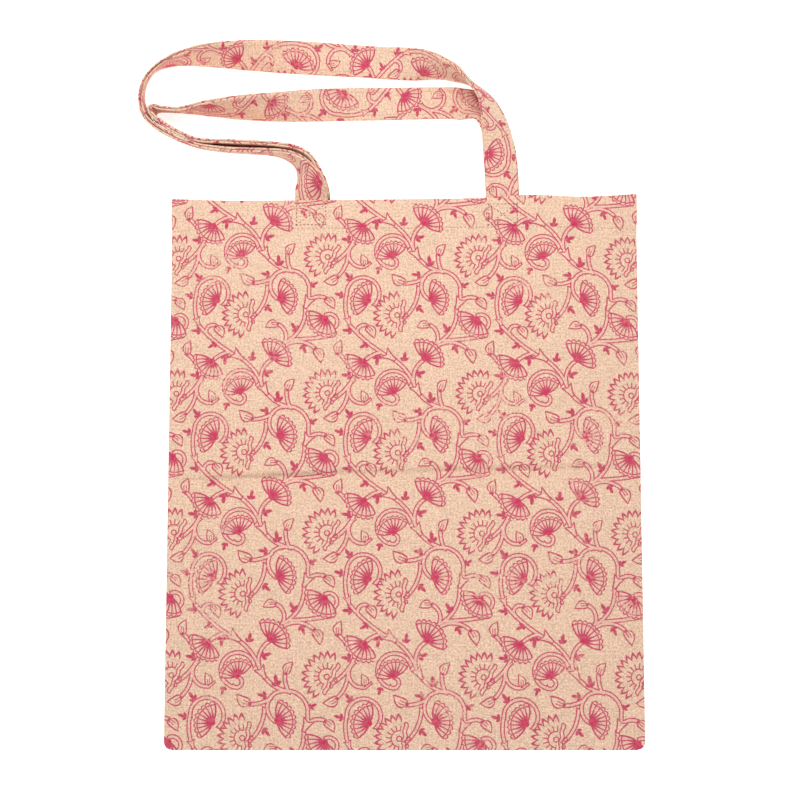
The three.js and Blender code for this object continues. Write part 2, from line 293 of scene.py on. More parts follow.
def nearest_motif(put, place, drawn_reach, spots):
    """Where a point lies in the nearest motif of a kind, in mm from its base, +Y to its tip."""
    local = None
    closest = None
    for x, y, facing, reach, side in spots:
        ahead_x = math.cos(facing) * reach / 2
        ahead_y = math.sin(facing) * reach / 2
        tiled = in_repeat(put, place, x + ahead_x, y + ahead_y)
        base = (-ahead_x, -ahead_y, 0)
        turn = (0, 0, facing - math.pi / 2)
        size = (side * reach / drawn_reach, reach / drawn_reach, 1)
        turned = put(MAPPING, tiled, base, turn, size, vector_type="TEXTURE")
        away = put(VECTOR, tiled, operation="LENGTH")
        if local is None:
            local = turned
            closest = away
            continue
        nearer = put("LESS_THAN", away, closest)
        local = put(MIX, nearer, local, turned, data_type="VECTOR")
        closest = put("MINIMUM", away, closest)
    return local


def pointed(rows):
    """Rows of base, tip and maybe a side as rows of base, facing, reach and side."""
    found = []
    for x, y, tip_x, tip_y, *side in rows:
        facing = math.atan2(tip_y - y, tip_x - x)
        found.append((x, y, facing, math.hypot(tip_x - x, tip_y - y), *(side or (1,))))
    return found


def faced(rows):
    """Rows of centre, facing in degrees and reach as rows that nearest_motif reads."""
    return [(x, y, math.radians(facing), reach, 1) for x, y, facing, reach in rows]


def ink_line(put, away, half_width=LINE):
    """How far a point is from a line of ink that runs where a distance is nought."""
    return put("SUBTRACT", put("ABSOLUTE", away), half_width)


def all_of(put, operation, *values):
    """The least or the greatest of several values."""
    found = values[0]
    for value in values[1:]:
        found = put(operation, found, value)
    return found


def draw_stems(put, place):
    """Distance to the middle line of the nearest stem."""
    found = []
    for x, y, end_x, end_y, bow in STEMS:
        chord = math.hypot(end_x - x, end_y - y)
        left = math.copysign(1, bow) / chord
        normal = ((y - end_y) * left, (end_x - x) * left, 0)
        depth = abs(bow)
        radius = (chord * chord / 4 + depth * depth) / (2 * depth)
        crown_x = (x + end_x) / 2 + normal[0] * depth
        crown_y = (y + end_y) / 2 + normal[1] * depth
        tiled = in_repeat(put, place, crown_x, crown_y)
        from_crown_to_centre = (normal[0] * radius, normal[1] * radius, 0)
        arm = put(VECTOR, tiled, from_crown_to_centre, operation="ADD")
        reach = put(VECTOR, arm, operation="LENGTH")
        off = put("ABSOLUTE", put("SUBTRACT", reach, radius))
        along = put(VECTOR, arm, normal, operation="DOT_PRODUCT")
        if depth < radius:
            way = ((end_x - x) / chord, (end_y - y) / chord, 0)
            beside = put(VECTOR, tiled, way, operation="DOT_PRODUCT")
            behind = put("SUBTRACT", 0, along)
            past_end = put("MAXIMUM", ink_line(put, beside, chord / 2), behind)
        else:
            past_end = put("SUBTRACT", radius - depth, along)
        found.append(put("MAXIMUM", off, past_end))
    return all_of(put, "MINIMUM", *found)


def draw_fans(put, place):
    """Distance to the ink of the nearest fan flower, and to its outline."""
    fan_reach = 15
    half_spread = math.radians(73)
    bulge = math.radians(25)
    petals = 9
    rim_reach = 14.0
    rim_gain_at_sides = 1.9
    rim_band = 2.4
    scallop_depth = 1.5
    scallop_line = 0.48
    side_line = 0.6
    hub_radius = 2.5
    hub_place = (0, 0.4, 0)
    local = nearest_motif(put, place, fan_reach, faced(FANS))
    across, ahead = put(SPLIT, local).node.outputs[:2]
    reach = put(VECTOR, local, operation="LENGTH")
    turn = put("ARCTAN2", across, ahead)
    spread = put("MULTIPLY_ADD", reach, -bulge / fan_reach, half_spread + bulge)
    share = put("DIVIDE", turn, spread)

    # Rays between the petals, thick at the hub and thin towards the rim.
    phase = put("MULTIPLY_ADD", share, petals / 2, petals / 2)
    from_border = put("PINGPONG", phase, 0.5)
    half_round = put("MULTIPLY", reach, spread)
    step = put("MULTIPLY", half_round, 2 / petals)
    thick = put(RANGE, reach, 3.0, 9.0, 0.95, 0.4)
    ray = put("SUBTRACT", put("MULTIPLY", from_border, step), thick)

    # A rim of two lines, the outer one scalloped.
    rim = put("MULTIPLY_ADD", put("MULTIPLY", share, share), rim_gain_at_sides, rim_reach)
    to_valley = put("MULTIPLY_ADD", from_border, -2, 1)
    valley = put("MULTIPLY", to_valley, to_valley)
    scallop = put("MULTIPLY_ADD", valley, -scallop_depth, rim)
    over = put("SUBTRACT", reach, scallop)
    inner = put("ADD", put("SUBTRACT", reach, rim), rim_band)
    ray = put("MAXIMUM", ray, inner)
    rims = all_of(put, "MINIMUM", ray, ink_line(put, over, scallop_line), ink_line(put, inner))

    # Two straight sides and a solid hub.
    wide = put("SUBTRACT", put("ABSOLUTE", turn), spread)
    off_side = put("MULTIPLY", wide, reach)
    drawn = put("MAXIMUM", rims, off_side)
    edge = put("MAXIMUM", ink_line(put, off_side, side_line), over)
    hub = put("SUBTRACT", put(VECTOR, local, hub_place, operation="DISTANCE"), hub_radius)
    drawn = all_of(put, "MINIMUM", drawn, edge, hub)
    outline = put("MAXIMUM", put("SUBTRACT", off_side, side_line), over)
    return drawn, outline


def draw_lotuses(put, place):
    """Distance to the ink of the nearest open lotus."""
    lotus_reach = 18.3
    petal_turn = 0.289
    petal_root = 13.3
    petal_growth = 7.6
    petal_slope = 0.42
    petal_line = 0.5
    stamen_turn = 0.4
    ring_radius = 6.1
    stamen_end = 10.2
    cut_off = 0.6
    eye_radius = 1.9
    bar_down = 4.0
    bar_half_length = 11.4
    bar_half_width = 1.4
    bead_line = 0.4
    # Beads below the bar: centre and radius.
    beads = ((0.9, -6.8, 1.5), (-5.0, -6.2, 1.3))
    local = nearest_motif(put, place, lotus_reach, faced(LOTUSES))
    across, ahead = put(SPLIT, local).node.outputs[:2]
    reach = put(VECTOR, local, operation="LENGTH")
    turn = put("ARCTAN2", across, ahead)

    # The upper half: pointed petals, and a ring with stamens around it.
    phase = put("MULTIPLY_ADD", turn, 1 / petal_turn, 0.5)
    bent = put("POWER", put("PINGPONG", phase, 0.5), 0.6)
    zigzag = put("MULTIPLY_ADD", bent, petal_growth, petal_root)
    over = put("MULTIPLY", put("SUBTRACT", reach, zigzag), petal_slope)
    petals = ink_line(put, over, petal_line)
    ring = ink_line(put, put("SUBTRACT", reach, ring_radius))
    from_tick = put("PINGPONG", put("DIVIDE", turn, stamen_turn), 0.5)
    step = put("MULTIPLY", reach, stamen_turn)
    tick = put("MULTIPLY_ADD", from_tick, step, -LINE)
    short = put("SUBTRACT", ring_radius, reach)
    long = put("SUBTRACT", reach, stamen_end)
    tick = all_of(put, "MAXIMUM", tick, short, long)
    head = all_of(put, "MINIMUM", petals, ring, tick)
    head = put("MAXIMUM", head, put("SUBTRACT", -cut_off, ahead))

    # The eye, and below it a wavy bar with its beads.
    eye = ink_line(put, put("SUBTRACT", reach, eye_radius))
    swing = put("SINE", put("MULTIPLY", across, 0.75))
    down = put("ADD", put("MULTIPLY_ADD", swing, 0.45, bar_down), ahead)
    out = put("SUBTRACT", put("ABSOLUTE", across), bar_half_length)
    out = put("MAXIMUM", out, 0)
    bar = put(VECTOR, put(JOIN, out, down), operation="LENGTH")
    bar = ink_line(put, put("SUBTRACT", bar, bar_half_width))
    drawn = all_of(put, "MINIMUM", head, eye, bar)
    for x, y, radius in beads:
        bead = put(VECTOR, local, (x, y, 0), operation="DISTANCE")
        bead = ink_line(put, put("SUBTRACT", bead, radius), bead_line)
        drawn = put("MINIMUM", drawn, bead)
    return drawn


def draw_buds(put, place):
    """Distance to the ink of the nearest bud, and to its outline."""
    bud_reach = 10
    belly_bend = 5.2
    fullness = 7.4
    edge_slope = 0.85
    vein_place = 0.9
    vein_line = 0.28
    vein_start = 0.8
    vein_end = 5.0
    knot_radius = 1.1
    local = nearest_motif(put, place, bud_reach, pointed(BUDS))
    across, ahead = put(SPLIT, local).node.outputs[:2]
    share = put("MULTIPLY", ahead, 1 / bud_reach, use_clamp=True)
    rest = put("SUBTRACT", 1, share)
    belly = put("MULTIPLY", share, rest)
    off = put("ABSOLUTE", put("MULTIPLY_ADD", belly, -belly_bend, across))
    opening = put("POWER", share, 0.45)
    closing = put("POWER", rest, 0.85)
    width = put("MULTIPLY", opening, closing)
    outline = put("MULTIPLY_ADD", width, -fullness, off)
    below = put("SUBTRACT", 0, ahead)
    above = put("SUBTRACT", ahead, bud_reach)
    outline = all_of(put, "MAXIMUM", outline, below, above)
    outline = put("MULTIPLY", outline, edge_slope)
    edge = ink_line(put, outline)
    vein = ink_line(put, put("SUBTRACT", off, vein_place), vein_line)
    short = put("SUBTRACT", vein_start, ahead)
    long = put("SUBTRACT", ahead, vein_end)
    vein = all_of(put, "MAXIMUM", vein, short, long)
    knot = put("SUBTRACT", put(VECTOR, local, operation="LENGTH"), knot_radius)
    return all_of(put, "MINIMUM", edge, vein, knot), outline


def draw_calyxes(put, place):
    """Distance to the ink of the nearest calyx, and to its outline."""
    calyx_reach = 9.2
    tip_half_width = 1.3
    flare_half_width = 2.8
    side_slope = 0.8
    notch_depth = 1.3
    notch_slope = 0.5
    local = nearest_motif(put, place, calyx_reach, pointed(CALYXES))
    across, ahead = put(SPLIT, local).node.outputs[:2]
    off = put("ABSOLUTE", across)
    rest = put("MULTIPLY_ADD", ahead, -1 / calyx_reach, 1, use_clamp=True)
    flare = put("POWER", rest, 1.6)
    width = put("MULTIPLY_ADD", flare, flare_half_width, tip_half_width)
    side = put("MULTIPLY", put("SUBTRACT", off, width), side_slope)
    notch = put("MULTIPLY_ADD", off, -notch_slope, notch_depth)
    notch = put("SUBTRACT", notch, ahead)
    tip = put("SUBTRACT", ahead, calyx_reach)
    outline = all_of(put, "MAXIMUM", side, notch, tip)
    return ink_line(put, outline), outline


def draw_sprigs(put, place):
    """Distance to the ink of the nearest solid sprig."""
    sprig_reach = 8
    # Leaves: centre, lean in degrees, half width, half length.
    leaves = ((0.2, 5.0, 0, 1.3, 3.1), (1.8, 2.5, -50, 1.15, 2.1), (-1.3, 2.0, 45, 1.05, 1.8))
    local = nearest_motif(put, place, sprig_reach, pointed(SPRIGS))
    found = []
    for x, y, lean, half_width, half_length in leaves:
        turn = (0, 0, math.radians(lean))
        size = (half_width, half_length, 1)
        inside = put(MAPPING, local, (x, y, 0), turn, size, vector_type="TEXTURE")
        leaf = put(VECTOR, inside, operation="LENGTH")
        found.append(put("MULTIPLY_ADD", leaf, half_width, -half_width))
    return all_of(put, "MINIMUM", *found)


def printing_block():
    """The block's drawing as a node group: how far in mm a point of the cloth is from the ink."""
    stem_half_width = 1.38
    tree = bpy.data.node_groups.new("Printing block", "ShaderNodeTree")
    tree.interface.new_socket("Cloth mm", in_out="INPUT", socket_type="NodeSocketVector")
    for name in ("Ink distance mm", "Wash distance mm"):
        tree.interface.new_socket(name, in_out="OUTPUT", socket_type="NodeSocketFloat")
    put = partial(add_node, tree)
    place = tree.nodes.new("NodeGroupInput").outputs[0]
    stem_outline = put("SUBTRACT", draw_stems(put, place), stem_half_width)
    stem = ink_line(put, stem_outline)
    fan, fan_outline = draw_fans(put, place)
    bud, bud_outline = draw_buds(put, place)
    calyx, calyx_outline = draw_calyxes(put, place)
    # A stem's ink stops where a flower, a bud or a calyx begins.
    for outline in (fan_outline, bud_outline, calyx_outline):
        stem = put("MAXIMUM", stem, put("SUBTRACT", 0, outline))
    lotus = draw_lotuses(put, place)
    sprig = draw_sprigs(put, place)
    drawn = all_of(put, "MINIMUM", fan, bud, calyx, stem, lotus, sprig)
    wash = put("MINIMUM", stem_outline, fan_outline)
    result = tree.nodes.new("NodeGroupOutput")
    tree.links.new(drawn, result.inputs[0])
    tree.links.new(wash, result.inputs[1])
    return tree


def printed_cotton(look):
    """Matt slubby plain weave with rose ink soaked in: soft edges, dry patches, no shine."""
    known = bpy.data.materials.get("Block-printed cotton")
    if known:
        return known
    material = bpy.data.materials.new("Block-printed cotton")
    material.use_nodes = True
    tree = material.node_tree
    tree.nodes.clear()
    put = partial(add_node, tree)
    soft = {"interpolation_type": "SMOOTHSTEP"}
    flat = put("ShaderNodeUVMap", uv_map=CLOTH_MAP)
    place = put(VECTOR, flat, 1 / MM, operation="SCALE")
    block = tree.nodes.new("ShaderNodeGroup")
    block.node_tree = printing_block()
    tree.links.new(place, block.inputs[0])
    away, wash_away = block.outputs

    # Noise takes a place in mm, a scale per mm, detail and roughness. A range takes a value, the two ends
    # that it comes from and the two that it goes to.
    # The ink creeps about 1 mm along the threads and tints the cloth between close lines. A worn block
    # leaves it dry in patches of a hand's breadth, with breaks some 3 mm apart.
    creep = put(RANGE, put(NOISE, place, 0.8, 2.0, 0.6), 0, 1, -0.50, 0.38)
    edge = put("ADD", away, creep)
    cover = put(RANGE, edge, 0.28, -0.28, 0, 1, **soft)
    wash = put(RANGE, wash_away, 0.6, -0.4, 0, 0.75, **soft)
    patch = put(NOISE, place, 0.018, 2.0, 0.5)
    dry = put(RANGE, patch, 0.5, 0.72, 0.12, 0.85, **soft)
    thin = put(NOISE, place, 0.35, 3.0, 0.6)
    breaks = put(RANGE, thin, 0.42, 0.62, 0, 1, **soft)
    body = put("SUBTRACT", 1, put("MULTIPLY", breaks, dry))
    printed = put("ShaderNodeAttribute", attribute_name="printed").node.outputs["Fac"]
    body = put("MULTIPLY", body, printed)
    wash = put("MULTIPLY", wash, body)
    cover = put("MULTIPLY", cover, body)
    deep = put(RANGE, edge, -0.4, -1.5, 0, 1, **soft)
    ink = put(MIX, deep, (*look.line_ink, 1), (*look.solid_ink, 1), data_type="RGBA")

    # Slubs run some 12 mm along a thread that is drawn 1 mm thick, about twice the real one.
    weft_place = put(VECTOR, place, (0.08, 1.0, 0), operation="MULTIPLY")
    warp_place = put(VECTOR, place, (1.0, 0.08, 0), operation="MULTIPLY")
    weft = put(NOISE, weft_place, 1.0, 2.0, 0.6)
    warp = put(NOISE, warp_place, 1.0, 2.0, 0.6)
    slub = put("ADD", weft, warp)
    fleck = put(NOISE, place, 0.65, 2.0, 0.8)
    fleck_share = put(RANGE, fleck, 0.36, 0.68, 0, 1.0)
    raw = put(MIX, wash, (*look.cloth, 1), (*look.wash, 1), data_type="RGBA")
    raw = put(MIX, fleck_share, raw, (*look.fleck, 1), data_type="RGBA")
    shade = put(RANGE, slub, 0.6, 1.4, 0.82, 1.18)
    raw = put(VECTOR, raw, shade, operation="SCALE")
    paint = put(MIX, cover, raw, ink, data_type="RGBA")

    # A plain weave of threads 1 mm apart, about twice as coarse as the real one.
    half_turns = put(VECTOR, place, math.pi, operation="SCALE")
    across, along = put(SPLIT, half_turns).node.outputs[:2]
    weave = put("MULTIPLY_ADD", put("SINE", across), put("SINE", along), slub)
    bump = tree.nodes.new("ShaderNodeBump")
    fill(bump, {"Strength": 0.35, "Distance": 0.15 * MM})
    tree.links.new(weave, bump.inputs["Height"])
    cloth = tree.nodes.new("ShaderNodeBsdfPrincipled")
    fill(cloth, {"Roughness": 0.92, "Specular IOR Level": 0.15, "Sheen Weight": 0.08, "Sheen Roughness": 0.6})
    tree.links.new(paint, cloth.inputs["Base Color"])
    tree.links.new(bump.outputs[0], cloth.inputs["Normal"])
    surface = tree.nodes.new("ShaderNodeOutputMaterial")
    tree.links.new(cloth.outputs[0], surface.inputs["Surface"])
    return material


def sewing_thread(name, shade):
    """Twisted cotton thread: matt, and darker than the cloth, which paints in the shade of the needle holes
    so that each stitch can be told.
    """
    known = bpy.data.materials.get(name)
    if known:
        return known
    material = bpy.data.materials.new(name)
    material.use_nodes = True
    thread = material.node_tree.nodes["Principled BSDF"]
    fill(thread, {"Base Color": (*shade, 1), "Roughness": 0.8, "Specular IOR Level": 0.2})
    return material


def smooth_step(low, high, value):
    """0 below low, 1 above high, and an even slope between."""
    share = np.clip((value - low) / (high - low), 0, 1)
    return share * share * (3 - 2 * share)


def half_width_at(body, y):
    """From the centre line to a side seam."""
    half = (body.bottom_width + (body.top_width - body.bottom_width) * y / body.left_height) / 2
    below = np.maximum(body.corner_radius - y, 0)
    return half - body.corner_radius + np.sqrt(body.corner_radius**2 - below**2)


def fullness_across(body, x):
    """0 at the side seams, 1 in the middle."""
    share = np.clip((body.top_width / 2 - np.abs(x)) / body.side_run, 0, 1)
    return 1 - (1 - share) ** CROWN


def fullness_up(body, y):
    """0 at the bottom seam, 1 above its slope."""
    return 1 - (1 - np.clip(y / body.bottom_run, 0, 1)) ** CROWN


def straight_mouth(body, x):
    """The mouth's height on the straight line between the tops of the side seams."""
    return body.left_height + (body.right_height - body.left_height) * (x / body.top_width + 0.5)


def front_mouth(body, x):
    """The front's top edge: it sags, and rises over the right handle."""
    rise = body.rise_height * np.exp(-(((x - body.rise_x) / body.rise_width) ** 2))
    return straight_mouth(body, x) + (rise - body.front_sag) * fullness_across(body, x)


def back_mouth(body, x):
    """The back's top edge, a little below the front's."""
    return straight_mouth(body, x) - body.back_set_down - body.back_sag * fullness_across(body, x)


def waves(x, y, size):
    """Soft hills of the cloth, from -1 to 1, as wide as the size."""
    seed = 0.37
    flat = np.stack((x.ravel() / size, y.ravel() / size), axis=1)
    heights = [noise.noise(Vector((p[0], p[1], seed))) for p in flat]
    return np.array(heights).reshape(x.shape)


def crease_drop(x, y):
    """How deep the creases press the cloth down, a little more here and less there."""
    unevenness = 0.35
    patch = 0.045
    deepest = np.zeros_like(x)
    for x0, y0, x1, y1, steep, gentle, depth in np.array(CREASES) * MM:
        run_x = x1 - x0
        run_y = y1 - y0
        share = ((x - x0) * run_x + (y - y0) * run_y) / (run_x**2 + run_y**2)
        share = np.clip(share, 0, 1)
        off_x = x - x0 - share * run_x
        off_y = y - y0 - share * run_y
        width = np.where(run_x * off_y > run_y * off_x, steep, gentle)
        away = np.hypot(off_x, off_y) / width
        deepest = np.maximum(deepest, depth * np.exp(-(away**2)))
    return deepest * (1 + unevenness * waves(x, y, patch))


def panel_plan(body, mouth_line, across, up):
    """Where a panel's points lie, as x and y, and how far they are from its mouth."""
    x = across * (half_width_at(body, up * body.left_height) - body.wall / 2)
    mouth = mouth_line(body, x) - body.wall
    y = body.wall / 2 + up * (mouth - body.wall / 2)
    return x, y, mouth - y


def front_sheet(body, across, up):
    """The front's points: x, y and the heights of its underside and its outside."""
    broad_hill = 0.06
    small_hill = 0.021
    seam_dip = 0.2 * MM
    seam_width = 1.5 * MM
    x, y, from_mouth = panel_plan(body, front_mouth, across, up)
    hemmed = 1 - smooth_step(body.front_hem - body.hem_turn, body.front_hem, from_mouth)
    ease_start = body.front_hem - 2 * body.hem_turn
    ease_end = body.front_hem + 3 * body.hem_turn
    eased = 1 - smooth_step(ease_start, ease_end, from_mouth)
    full = fullness_across(body, across * body.top_width / 2) * fullness_up(body, y)
    puff = body.puff + (body.hem_puff - body.puff) * eased
    air = (puff - crease_drop(x, y)) * full
    soft = 0.7 * waves(x, y, broad_hill) + 0.3 * waves(x, y, small_hill)
    air = np.maximum(air + body.wave * soft * full * (1 - eased), 0)
    seam_line = seam_dip * np.exp(-(((from_mouth - body.front_hem) / seam_width) ** 2))
    least = 2 * body.wall * (1 + hemmed) + body.layer_gap
    high = np.maximum(2 * body.wall * (1 + eased) + body.layer_gap + air - seam_line, least)
    return x, y, high - body.wall * (1 + hemmed), high


def back_sheet(body, across, up):
    """The back's points: x, y and the heights of its outside, on the floor, and its inside."""
    x, y, from_mouth = panel_plan(body, back_mouth, across, up)
    hemmed = 1 - smooth_step(body.back_hem - body.hem_turn, body.back_hem, from_mouth)
    return x, y, np.zeros_like(x), body.wall * (1 + hemmed)


def front_print(x, y):
    """Where the front's cloth lay under the block, which stood a little askew to it."""
    hub_x = -9.0 * MM
    hub_y = 272.6 * MM
    right = x - hub_x
    up = y - hub_y
    return right + 0.005 * up, up + 0.0046 * right


def back_print(x, y):
    """Where the back's cloth lay under the block, seen from behind."""
    hub_x = 31 * MM
    hub_y = 244 * MM
    return hub_x - x, y - hub_y


def make_piece(name, points, faces, material, maps):
    """A smooth mesh object, with its UV maps given corner by corner and its printed share by point."""
    mesh = bpy.data.meshes.new(name)
    mesh.from_pydata(points[:, :3].tolist(), [], faces)
    for map_name, corners in maps.items():
        mesh.uv_layers.new(name=map_name).data.foreach_set("uv", np.concatenate(corners).ravel())
    printed = mesh.attributes.new("printed", "FLOAT", "POINT")
    printed.data.foreach_set("value", points[:, 3])
    mesh.materials.append(material)
    mesh.shade_smooth()
    mesh.validate()
    piece = bpy.data.objects.new(name, mesh)
    bpy.context.collection.objects.link(piece)
    return piece


def ring_quads(first, second):
    """The four corners of each quad in a closed band between two rings."""
    return np.stack((first, second, np.roll(second, -1, 0), np.roll(first, -1, 0)), axis=1)


def make_panel(name, body, sheet, to_print, printed_up, material):
    """A closed panel of cloth: two skins and a rounded rim between them."""
    # Bands of rows, as shares of the height and a count: closer round the corners, along the crease across
    # the bag, and in the hem.
    bands = ((0, 0.016, 6), (0.016, 0.46, 81), (0.46, 0.52, 49), (0.52, 0.92, 73), (0.92, 1, 25))
    rows = [np.linspace(low, high, count, endpoint=False) for low, high, count in bands]
    # Closer columns towards the side seams.
    bunching = 1.2
    columns = np.sin(np.linspace(-1, 1, 161) * bunching) / math.sin(bunching)
    across, up = np.meshgrid(columns, np.concatenate(rows + [[1.0]]))
    x, y, low, high = sheet(body, across, up)
    grid = np.arange(x.size).reshape(x.shape)
    # The outside is printed all over, and the inside only where the hem is turned.
    hem = np.where(up > 1 - body.back_hem / body.left_height, 1.0, 0.0)
    outside = np.ones_like(x)
    upper = np.stack((x, y, high, outside if printed_up else hem), axis=-1).reshape(-1, 4)
    lower = np.stack((x, y, low, hem if printed_up else outside), axis=-1).reshape(-1, 4)

    # The rim bulges out from the edge that runs once around both skins.
    edge = np.concatenate((grid[0, :-1], grid[:-1, -1], grid[-1, :0:-1], grid[:0:-1, 0]))
    way = np.roll(upper[edge, :2], -1, axis=0) - np.roll(upper[edge, :2], 1, axis=0)
    out = np.stack((way[:, 1], -way[:, 0]), axis=1) / np.linalg.norm(way, axis=1)[:, None]
    middle = (upper[edge, 2] + lower[edge, 2]) / 2
    half = (upper[edge, 2] - lower[edge, 2]) / 2
    rings = [edge]
    points = [upper, lower]
    for turn in (45, 90, 135):
        swell = half * math.sin(math.radians(turn))
        ring = np.ones((len(edge), 4))
        ring[:, :2] = upper[edge, :2] + out * swell[:, None]
        ring[:, 2] = middle + half * math.cos(math.radians(turn))
        rings.append(np.arange(len(edge)) + 2 * x.size + (len(rings) - 1) * len(edge))
        points.append(ring)
    rings.append(edge + x.size)
    points = np.concatenate(points)

    quads = np.stack((grid[:-1, :-1], grid[:-1, 1:], grid[1:, 1:], grid[1:, :-1]), axis=-1).reshape(-1, 4)
    faces = [quads, quads[:, ::-1] + x.size]
    faces += [ring_quads(first, second) for first, second in zip(rings, rings[1:])]
    flat = np.stack(to_print(points[:, 0], points[:, 1]), axis=1)
    cloth_corners = [flat[f.ravel()] for f in faces]

    # On the baked picture the printed skin fills the square, and the other is squeezed over it. Each box
    # is the place of its lower left corner and its size.
    printed_box = ((0.012, 0.012), (0.976, 0.906))
    plain_box = ((0.012, 0.934), (0.976, 0.054))
    rim_step = 0.002
    share = np.stack(((across + 1) / 2, up), axis=-1).reshape(-1, 2)
    boxes = (printed_box, plain_box) if printed_up else (plain_box, printed_box)
    skins = [share * size + start for start, size in boxes]
    bake_corners = [skins[0][faces[0].ravel()], skins[1][faces[1].ravel() - x.size]]
    start = skins[0 if printed_up else 1][edge]
    for band in range(4):
        steps = (band, band + 1) if printed_up else (4 - band, 3 - band)
        first, second = (start + out * rim_step * s for s in steps)
        bake_corners.append(ring_quads(first, second).reshape(-1, 2))
    maps = {CLOTH_MAP: cloth_corners, BAKE_MAP: bake_corners}
    points[:, 0] += BAG_X
    points[:, 1] += BAG_Y
    return make_piece(name, points, np.concatenate(faces).tolist(), material, maps)


def length_along(points):
    """How far along the line through all the points each of them lies."""
    steps = np.linalg.norm(np.diff(points, axis=0), axis=1)
    return np.concatenate(((0,), np.cumsum(steps)))


def spans(values):
    """For each span between two stations, the stations before, at its ends and after it."""
    before = 2 * values[0] - values[1]
    after = 2 * values[-1] - values[-2]
    padded = np.concatenate((before[None], values, after[None]))
    return [padded[i:len(padded) - 3 + i, None] for i in range(4)]


def cubic(start, end, slope_in, slope_out, share):
    """A smooth step between two values that leaves and arrives with the given slopes."""
    share = share[None, :, None]
    bend = -3 * start + 3 * end - 2 * slope_in - slope_out
    twist = 2 * start - 2 * end + slope_in + slope_out
    return start + share * (slope_in + share * (bend + share * twist))


def handle_rings(handle, run):
    """A handle's even rings along its route: centre, way across, way out of its face, length so far."""
    ring_step = 1.3 * MM
    stations = np.array(run, float)
    share = np.linspace(0, 1, 40, endpoint=False)
    p0, p1, p2, p3 = spans(stations[:, :2] * MM)
    d0, d1, d2 = (
        np.sqrt(np.linalg.norm(b - a, axis=2, keepdims=True)) for a, b in ((p0, p1), (p1, p2), (p2, p3))
    )
    slope_in = ((p1 - p0) / d0 - (p2 - p0) / (d0 + d1) + (p2 - p1) / d1) * d1
    slope_out = ((p2 - p1) / d1 - (p3 - p1) / (d1 + d2) + (p3 - p2) / d2) * d1
    plan = cubic(p1, p2, slope_in, slope_out, share).reshape(-1, 2)
    t0, t1, t2, t3 = spans(stations[:, 2:])
    twist = cubic(t1, t2, (t2 - t0) / 2, (t3 - t1) / 2, share)
    twist = np.clip(twist, np.minimum(t1, t2), np.maximum(t1, t2)).reshape(-1, 2)
    plan = np.concatenate((plan, stations[-1:, :2] * MM))
    twist = np.concatenate((twist, stations[-1:, 2:]))

    far = length_along(plan)
    even = np.linspace(0, far[-1], int(far[-1] / ring_step) + 1)
    plan = np.stack([np.interp(even, far, plan[:, i]) for i in range(2)], axis=1)
    roll, lift = (np.interp(even, far, twist[:, i]) for i in range(2))
    roll = np.radians(roll)
    along = np.gradient(plan, axis=0)
    along = along / np.linalg.norm(along, axis=1)[:, None]
    right = np.stack((along[:, 1], -along[:, 0]), axis=1)
    across = np.concatenate((right * np.cos(roll)[:, None], np.sin(roll)[:, None]), axis=1)
    face = np.cross(across, np.concatenate((along, np.zeros((len(along), 1))), axis=1))
    height = (handle.thickness * np.abs(np.cos(roll)) + handle.width * np.abs(np.sin(roll))) / 2
    centre = np.concatenate((plan, (height + lift * MM)[:, None]), axis=1)
    centre += np.array((BAG_X, BAG_Y, 0))
    return centre, across, face, even


def handle_outline(handle, slit):
    """A handle's section, across and out: the upper layer from slit to slit, then the lower one."""
    half = handle.width / 2
    root = half - handle.slit_depth
    radius = (handle.thickness - slit) / 4
    middle = slit / 2 + radius
    end = half - radius
    lip = end - 0.4 * radius
    left = [(-root, 0.0), (-lip, middle - radius)]
    for turn in (225, 180, 135):
        lean = math.radians(turn)
        left.append((-end + radius * math.cos(lean), middle + radius * math.sin(lean)))
    flat = [(end * share, middle + radius) for share in (-1, -0.7, -0.35, 0, 0.35, 0.7, 1)]
    right = [(-a, f) for a, f in left[:0:-1]]
    upper = left + flat + right
    return np.array(upper + [(-a, -f) for a, f in upper])


